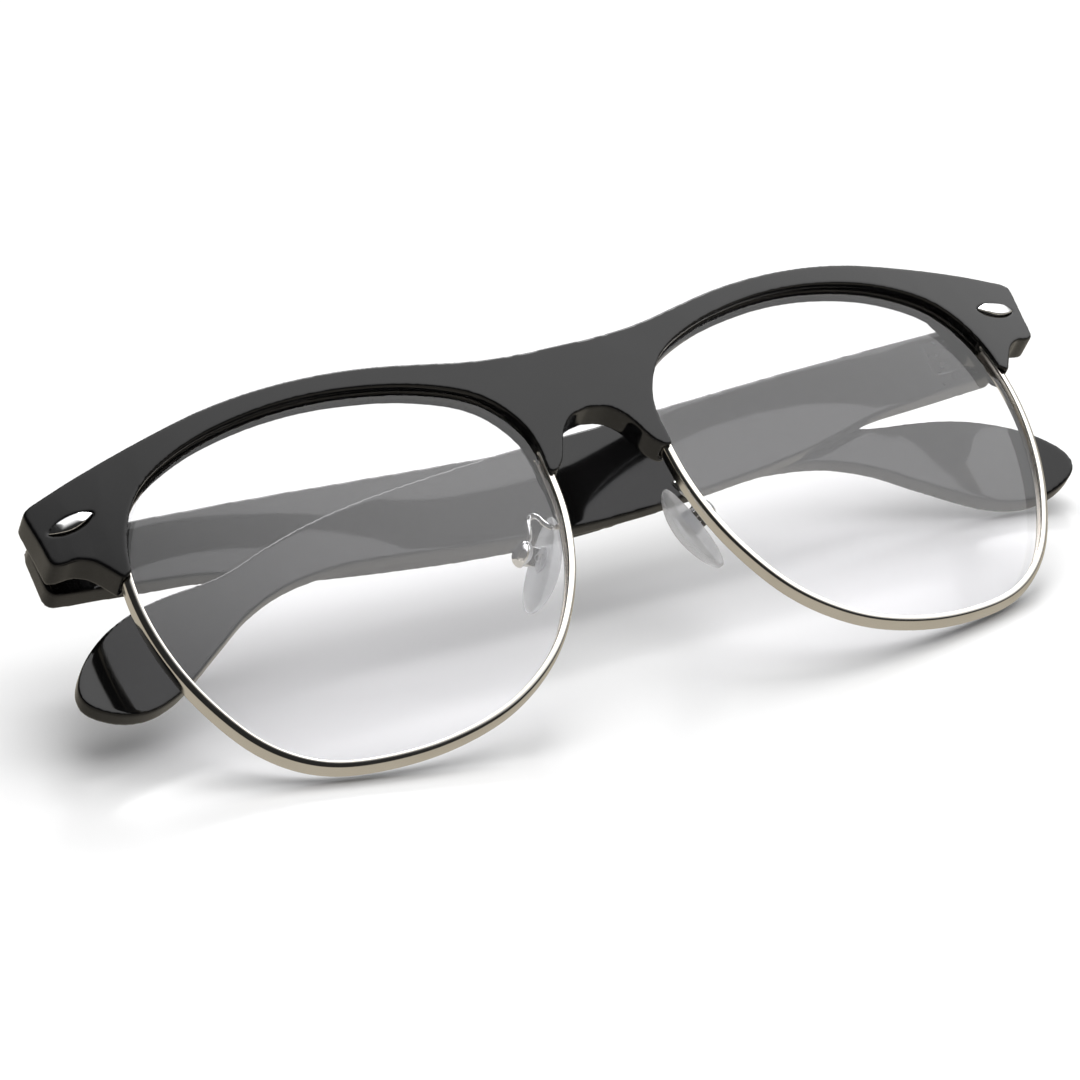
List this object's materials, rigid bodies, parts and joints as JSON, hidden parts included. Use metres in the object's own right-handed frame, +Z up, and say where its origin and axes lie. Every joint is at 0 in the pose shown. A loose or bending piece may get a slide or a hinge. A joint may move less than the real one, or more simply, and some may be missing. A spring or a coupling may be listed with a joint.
{
  "type": "half rim eyeglasses",
  "caption": "Half rim eyeglasses with a heavy plastic brow bar, metal lower rims, clear lenses, adjustable nose pads and folding plastic temples, lying folded on their rims.",
  "frame": {"origin": "on the table under the middle of the folded glasses", "axes": "+X along the front's width to the wearer's left side, +Z up from the table, -Y toward the side that the lower rims rest on"},
  "size_m": [0.1498, 0.0524, 0.0376],
  "materials": {
    "black_plastic": "gloss",
    "clear_lens": "clear gloss",
    "rim_metal": "polished",
    "bright_metal": "polished",
    "hinge_metal": "satin",
    "clear_pad": "clear gloss"
  },
  "bodies": {
    "front": {"brow_front": "black_plastic", "left_lens": "clear_lens", "right_lens": "clear_lens", "left_eyewire": "rim_metal", "right_eyewire": "rim_metal", "left_stud": "bright_metal", "right_stud": "bright_metal", "left_pad_arm": "bright_metal", "right_pad_arm": "bright_metal", "left_pad_box": "bright_metal", "right_pad_box": "bright_metal", "left_pad_screw": "bright_metal", "right_pad_screw": "bright_metal", "left_front_hinge": "hinge_metal", "right_front_hinge": "hinge_metal", "left_hinge_screw": "hinge_metal", "right_hinge_screw": "hinge_metal"},
    "left_temple_arm": {"left_temple": "black_plastic", "left_temple_hinge": "hinge_metal"},
    "right_temple_arm": {"right_temple": "black_plastic", "right_temple_hinge": "hinge_metal"},
    "left_pad": {"left_nose_pad": "clear_pad", "left_pad_core": "bright_metal"},
    "right_pad": {"right_nose_pad": "clear_pad", "right_pad_core": "bright_metal"}
  },
  "joints": [
    {"name": "right_temple_hinge_turn", "type": "hinge", "parent": "front", "child": "right_temple_arm", "pos_m": [-0.06874, 0.01984, 0.01858], "axis": [0, 0.8111, 0.585], "range_deg": [0, 92.6]},
    {"name": "left_temple_hinge_turn", "type": "hinge", "parent": "front", "child": "left_temple_arm", "pos_m": [0.06846, 0.01984, 0.01858], "axis": [0, -0.8111, -0.585], "range_deg": [0, 95]},
    {"name": "left_pad_rock", "type": "hinge", "parent": "front", "child": "left_pad", "pos_m": [0.01176, -0.00422, 0.01481], "axis": [-0.0048, -0.9348, 0.3551], "range_deg": [-5, 5]},
    {"name": "right_pad_rock", "type": "hinge", "parent": "front", "child": "right_pad", "pos_m": [-0.01203, -0.00422, 0.01481], "axis": [-0.0048, 0.9348, -0.3551], "range_deg": [-5, 5]}
  ]
}
